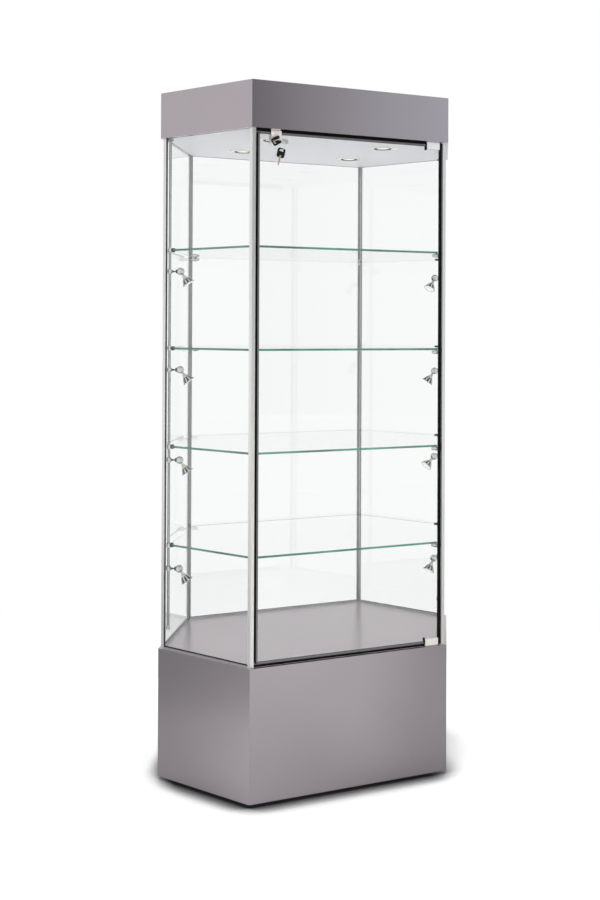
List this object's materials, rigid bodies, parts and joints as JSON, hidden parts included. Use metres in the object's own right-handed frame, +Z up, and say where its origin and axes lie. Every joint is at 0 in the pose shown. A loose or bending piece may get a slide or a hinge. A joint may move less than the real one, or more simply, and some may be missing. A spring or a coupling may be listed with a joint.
{
  "type": "display case",
  "caption": "Hexagonal glass tower showcase with silver plinth and canopy, aluminium corner posts, hinged locking glass door, glass shelves, downlights and tilting spotlights.",
  "frame": {"origin": "middle of the footprint on the floor, with the levelling feet screwed in", "axes": "+Z up, front (the door) towards -Y, +X to the right seen from the front"},
  "size_m": [0.956, 0.6133, 1.98],
  "materials": {
    "silver_board": "silver-grey metallic laminate on board, satin",
    "deck_board": "silver-grey laminate on board, satin",
    "ceiling_board": "pale grey laminate on board, satin",
    "aluminium": "satin anodised",
    "glass": "clear float glass with polished green edges",
    "rubber": "matt black",
    "chrome": "bright chrome plate",
    "zinc_steel": "zinc plated",
    "brass": "pale nickelled brass",
    "black_plastic": "black, lightly textured",
    "lamp_glass": "faceted glass reflector with a white ceramic holder",
    "white_enamel": "white enamel",
    "white_plastic": "white"
  },
  "bodies": {
    "cabinet": {"plinth_front": "silver_board", "plinth_boards": "silver_board", "plinth_base": "silver_board", "deck": "deck_board", "foot_sockets": "zinc_steel", "post_front_right": "aluminium", "post_right": "aluminium", "post_rear_right": "aluminium", "post_rear_left": "aluminium", "post_left": "aluminium", "post_front_left": "aluminium", "glass_front_right": "glass", "glass_rear_right": "glass", "glass_rear": "glass", "glass_rear_left": "glass", "glass_front_left": "glass", "glazing_channels": "aluminium", "glazing_gaskets": "rubber", "pivot_plates": "chrome", "shelf_1": "glass", "shelf_2": "glass", "shelf_3": "glass", "shelf_4": "glass", "shelf_pegs": "chrome", "rod_clamps": "chrome", "clamp_jaws": "rubber", "rod_left": "chrome", "rod_right": "chrome", "spot_arms": "chrome", "canopy_front": "silver_board", "canopy_boards": "silver_board", "ceiling": "ceiling_board", "top_board": "silver_board", "downlight_bezels": "white_enamel", "downlight_lamps": "lamp_glass", "light_driver": "white_plastic", "cable_gland": "black_plastic"},
    "door": {"door_glass": "glass", "door_seal": "rubber", "door_hinges": "chrome", "lock_case": "chrome"},
    "lock_cylinder": {"lock_plug": "chrome", "lock_cam": "chrome", "key_blade": "brass"},
    "key_bow": {"key_bow": "black_plastic"},
    "key_ring": {"key_ring": "chrome"},
    "spare_bow": {"spare_bow": "black_plastic"},
    "spare_blade": {"spare_blade": "brass"},
    "spot_1": {"spot_1": "lamp_glass"},
    "spot_2": {"spot_2": "lamp_glass"},
    "spot_3": {"spot_3": "lamp_glass"},
    "spot_4": {"spot_4": "lamp_glass"},
    "spot_5": {"spot_5": "lamp_glass"},
    "spot_6": {"spot_6": "lamp_glass"},
    "spot_7": {"spot_7": "lamp_glass"},
    "spot_8": {"spot_8": "lamp_glass"},
    "foot_1": {"foot_1": "zinc_steel"},
    "foot_2": {"foot_2": "zinc_steel"},
    "foot_3": {"foot_3": "zinc_steel"},
    "foot_4": {"foot_4": "zinc_steel"}
  },
  "joints": [
    {"name": "door_hinge", "type": "hinge", "parent": "cabinet", "child": "door", "pos_m": [0.27646, -0.28448, 1.113], "axis": [0, 0, 1], "range_deg": [0, 110]},
    {"name": "lock_turn", "type": "hinge", "parent": "door", "child": "lock_cylinder", "pos_m": [-0.22896, -0.29148, 1.8204], "axis": [0, -1, 0], "range_deg": [0, 90]},
    {"name": "bow_fold", "type": "hinge", "parent": "lock_cylinder", "child": "key_bow", "pos_m": [-0.22896, -0.29798, 1.8204], "axis": [-0.515, 0, 0.8572], "range_deg": [0, 90]},
    {"name": "ring_swing", "type": "hinge", "parent": "key_bow", "child": "key_ring", "pos_m": [-0.24302, -0.29798, 1.81195], "axis": [0, -1, 0], "range_deg": [-10, 10]},
    {"name": "spare_swing", "type": "hinge", "parent": "key_ring", "child": "spare_bow", "pos_m": [-0.22142, -0.29798, 1.79075], "axis": [0, -1, 0], "range_deg": [-35, 35]},
    {"name": "spare_fold", "type": "hinge", "parent": "spare_bow", "child": "spare_blade", "pos_m": [-0.2251, -0.29798, 1.77477], "axis": [-0.9744, 0, 0.225], "range_deg": [0, 90]},
    {"name": "spot_1_tilt", "type": "hinge", "parent": "cabinet", "child": "spot_1", "pos_m": [-0.42016, -0.01743, 1.465], "axis": [0.4067, 0.9135, 0], "range_deg": [-38, 32]},
    {"name": "spot_2_tilt", "type": "hinge", "parent": "cabinet", "child": "spot_2", "pos_m": [-0.42016, -0.01743, 1.18], "axis": [0.4067, 0.9135, 0], "range_deg": [-34, 36]},
    {"name": "spot_3_tilt", "type": "hinge", "parent": "cabinet", "child": "spot_3", "pos_m": [-0.42016, -0.01743, 0.919], "axis": [0.4067, 0.9135, 0], "range_deg": [-38, 32]},
    {"name": "spot_4_tilt", "type": "hinge", "parent": "cabinet", "child": "spot_4", "pos_m": [-0.42016, -0.01743, 0.605], "axis": [0.4067, 0.9135, 0], "range_deg": [-38, 32]},
    {"name": "spot_5_tilt", "type": "hinge", "parent": "cabinet", "child": "spot_5", "pos_m": [0.42016, -0.01743, 1.464], "axis": [0.2419, -0.9703, 0], "range_deg": [-38, 32]},
    {"name": "spot_6_tilt", "type": "hinge", "parent": "cabinet", "child": "spot_6", "pos_m": [0.42016, -0.01743, 1.167], "axis": [-0.4067, -0.9135, 0], "range_deg": [-38, 32]},
    {"name": "spot_7_tilt", "type": "hinge", "parent": "cabinet", "child": "spot_7", "pos_m": [0.42016, -0.01743, 0.894], "axis": [0.0872, -0.9962, 0], "range_deg": [-24, 46]},
    {"name": "spot_8_tilt", "type": "hinge", "parent": "cabinet", "child": "spot_8", "pos_m": [0.42016, -0.01743, 0.569], "axis": [0.1736, -0.9848, 0], "range_deg": [-41, 29]},
    {"name": "foot_1_screw", "type": "slide", "parent": "cabinet", "child": "foot_1", "axis": [0, 0, -1], "range_m": [0, 0.015]},
    {"name": "foot_2_screw", "type": "slide", "parent": "cabinet", "child": "foot_2", "axis": [0, 0, -1], "range_m": [0, 0.015]},
    {"name": "foot_3_screw", "type": "slide", "parent": "cabinet", "child": "foot_3", "axis": [0, 0, -1], "range_m": [0, 0.015]},
    {"name": "foot_4_screw", "type": "slide", "parent": "cabinet", "child": "foot_4", "axis": [0, 0, -1], "range_m": [0, 0.015]}
  ]
}
